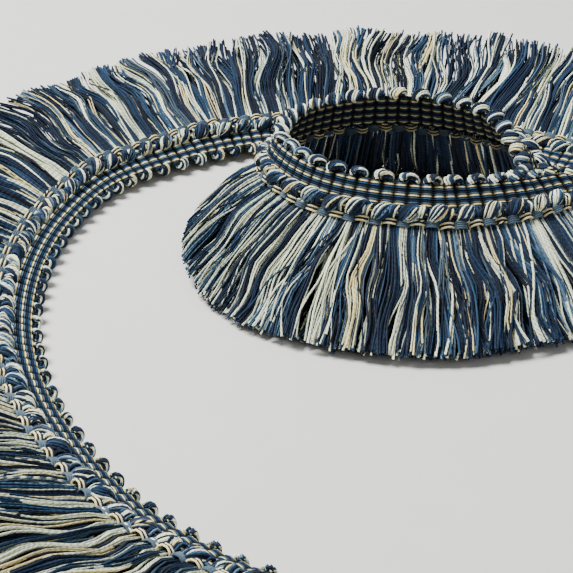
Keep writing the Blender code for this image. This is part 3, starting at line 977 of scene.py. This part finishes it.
def brushLines(yarns, steps):
    (centre, lane, tip, layer, tuck, side, depth, spread, splaySide, splayDepth, longer, dye, strand, radius,
     clump) = (part[:, None] for part in yarns)
    t = np.linspace(0, 1, steps)[None, :] ** lie["pointPower"] * longer
    s = centre + lane + (tip - lane) * t ** lie["tipPower"] + side * (lie["rootSpread"] + spread * t)
    s = np.clip(s + splaySide * t**2, lie["endMargin"], stripLength - lie["endMargin"])
    at = stripFrames(s)
    root = layHeading(s, np.full_like(s, strip["bindingFoot"]), np.zeros_like(s))
    rootOut = ((root - at["tie"]) * at["out"]).sum(-1)
    rootHigh = root[..., 2]
    bow = 4 * t * (1 - t) * strip["bow"]
    outUpper = rootOut + (at["reach"] - rootOut) * t
    highUpper = rootHigh + (at["rise"] - rootHigh) * t + bow
    share = strip["lowerReach"] - lie["tuckIn"] * tuck
    fall = np.clip(1 - t / strip["levelFrom"], 0, 1) ** strip["fallPower"]
    outLower = rootOut + (at["reach"] * share - rootOut) * t
    highLower = strip["restHeight"] + (rootHigh - strip["restHeight"]) * fall
    gather = np.clip(lie["pressed"] + t / lie["pressedTo"], 0, 1)
    lift = ((layer - 0.5) * lie["depth"] + depth) * (1 - lie["thinner"] * t) * gather
    lift = lift + (splayDepth + lie["tipLift"]) * t
    place = at["tie"] + at["out"] * (outLower + (outUpper - outLower) * layer)[..., None]
    place[..., 2] = highLower + (highUpper - highLower) * layer
    turn = t[..., None]
    normal = unit(at["face"] * (1 - turn) + at["up"] * turn)
    place = place + normal * lift[..., None]
    rootV = np.full_like(s[:, :1], strip["bindingFoot"] - lie["rootBack"])
    place = np.concatenate([layHeading(s[:, :1], rootV, lift[:, :1]), place], 1)
    loose = np.sin(np.pi * lie["looseTo"] * np.clip(t, 0, 1)) ** lie["loosePower"]
    loose = np.concatenate([np.zeros_like(t[:, :1]), loose], 1)
    spare = lie["floorSpare"] * loose * (1 - layer)
    place[..., 2] = np.maximum(place[..., 2], radius + lie["floorGap"] + spare)
    taper = np.ones(place.shape[:2])
    for point, size in lie["taper"]:
        taper[:, point] = size
    out = np.concatenate([at["out"][:, :1], at["out"]], 1)
    return place, {"thick": radius * taper, "dye": dye, "strand": strand, "loose": loose,
                   "clump": clump, "out": out}


def makeBrush(arc):
    name, start, stop = arc
    first, last = (round(lengthAt(section) / pitch) for section in (start, stop))
    part = "coil" if start >= strip["coilFrom"] else "loop"
    height, length, kinks = brush[part]["sway"]
    made = []
    for low, ending, steps, share in ((False, "_top", brush["topSteps"], 1.0),
                                      (True, "_under", brush["lowSteps"], brush["lowSway"])):
        place, facts = brushLines(drawYarns(first, last, part, low), steps)
        source = threadMesh("yarns", place, **facts)
        values = {"Sides": brush["sides"], "Sway Height": height * share, "Sway Length": length,
                  "Kink Height": kinks, "Kink Length": brush["kinkLength"], "Seed": brush["swaySeed"],
                  "Material": brushMaterial}
        made.append(runTree(source, yarnTree, values, name.replace("fringe", "brush") + ending))
    return made


bandPiece = makeBand()
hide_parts("heading_band")
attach(bandPiece, "root")

rows = makeRows()
for key, node, slot in (("picots_loop", "loop_edging", "loops"), ("picots_coil", "loop_edging", "loops"),
                        ("gimp_loop", "gimp_roll", "gimp"), ("gimp_coil", "gimp_roll", "gimp"),
                        ("binding_ties", "gimp_roll", "band")):
    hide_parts(node)
    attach(rows[key], "root")
for arc in arcs:
    for piece in makeBrush(arc):
        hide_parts(arc[0])
        if "coil" in arc[0]:
            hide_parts("inner_brush")
        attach(piece, "root")
print("pieces: all laid")

studio = {
    "floorSize": 6,
    "floorRoughness": 0.9,
    "floorColour": (0.62, 0.61, 0.59),
    "floorShade": (0.97, 0.06),  # darkest, and how much brighter at most
    "floorGrain": 60.0,
    "grainDetail": 4.0,
    "world": (0.9, 0.95, 1.0),
    "worldStrength": 0.2,
    "lights": [  # name, place, size, power
        ("key", (-0.5, 0.2, 1.0), 0.5, 36.5),
        ("back", (0.2, 0.9, 0.8), 0.8, 3.5),
        ("front", (0.4, -0.8, 0.6), 0.8, 2.5),
    ],
    "lightsAimAt": (0.0, 0.02, 0.02),
    "cameraPlace": (-0.02041, -0.37209, 0.210),
    "cameraPitch": 62,
    "lens": 96.13,
    "sensor": 36,
    "clipStart": 0.01,
}


def makeStudio():
    bpy.ops.mesh.primitive_plane_add(size=studio["floorSize"])
    floor = bpy.context.object
    floor.name = "floor"
    material, tree, shader = newMaterial("pale_floor", studio["floorRoughness"])
    place = addNode(tree, "ShaderNodeTexCoord").outputs["Object"]
    noise = noiseAt(tree, place, studio["grainDetail"], studio["floorGrain"])
    darkest, more = studio["floorShade"]
    value = plus(tree, darkest, times(tree, noise, more))
    tree.links.new(scaled(tree, studio["floorColour"], value), shader.inputs["Base Color"])
    floor.data.materials.append(material)
    world = bpy.data.worlds.new("studio")
    scene.world = world
    world.use_nodes = True
    background = world.node_tree.nodes["Background"].inputs
    background["Color"].default_value = (*studio["world"], 1)
    background["Strength"].default_value = studio["worldStrength"]
    for name, place, size, power in studio["lights"]:
        light = bpy.data.lights.new(name, "AREA")
        light.size = size
        light.energy = power
        lamp = addObject(name, light)
        lamp.location = place
        x, y, z = np.array(studio["lightsAimAt"]) - np.array(place)
        lamp.rotation_euler = math.atan2(math.hypot(x, y), -z), 0, math.atan2(-x, y)
    camera = bpy.data.cameras.new("camera")
    camera.sensor_width = studio["sensor"]
    camera.lens = studio["lens"]
    camera.clip_start = studio["clipStart"]
    view = addObject("camera", camera)
    view.location = studio["cameraPlace"]
    view.rotation_euler = (math.radians(studio["cameraPitch"]), 0, 0)
    scene.camera = view


makeStudio()
